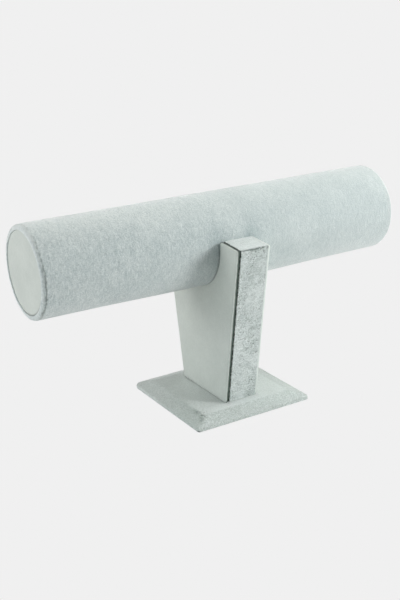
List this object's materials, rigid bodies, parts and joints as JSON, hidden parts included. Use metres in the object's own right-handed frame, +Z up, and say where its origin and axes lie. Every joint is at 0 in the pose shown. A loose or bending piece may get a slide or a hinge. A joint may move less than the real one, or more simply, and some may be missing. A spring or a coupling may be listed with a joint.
{
  "type": "bracelet display stand",
  "caption": "Velvet-covered bar stand for bracelets and watches: a horizontal roll in the cradle of a tapered pillar on a bevelled square base.",
  "frame": {"origin": "middle of the underside, on the surface that the stand rests on", "axes": "+X along the roll to its right end, -Y towards the front, +Z up"},
  "size_m": [0.268, 0.0904, 0.1435],
  "materials": {
    "roll_velvet": "short pale grey-green velvet, brushed pile",
    "smooth_velvet": "short pale grey-green velvet, smooth pile",
    "board": "grey paper board",
    "fibreboard": "raw fibreboard",
    "dark_core": "dark dyed fibreboard",
    "felt": "thin non-woven felt",
    "steel": "zinc-plated"
  },
  "bodies": {
    "root": {"roll_tube": "board", "roll_cover": "roll_velvet", "right_disc_board": "board", "right_disc_cover": "smooth_velvet", "left_disc_board": "board", "left_disc_cover": "smooth_velvet", "pillar_core": "dark_core", "pillar_edge_band": "roll_velvet", "right_panel_board": "board", "right_panel_cover": "smooth_velvet", "left_panel_board": "board", "left_panel_cover": "smooth_velvet", "base_board": "fibreboard", "base_cover": "roll_velvet", "base_underlay": "felt", "base_screws": "steel"}
  },
  "joints": []
}
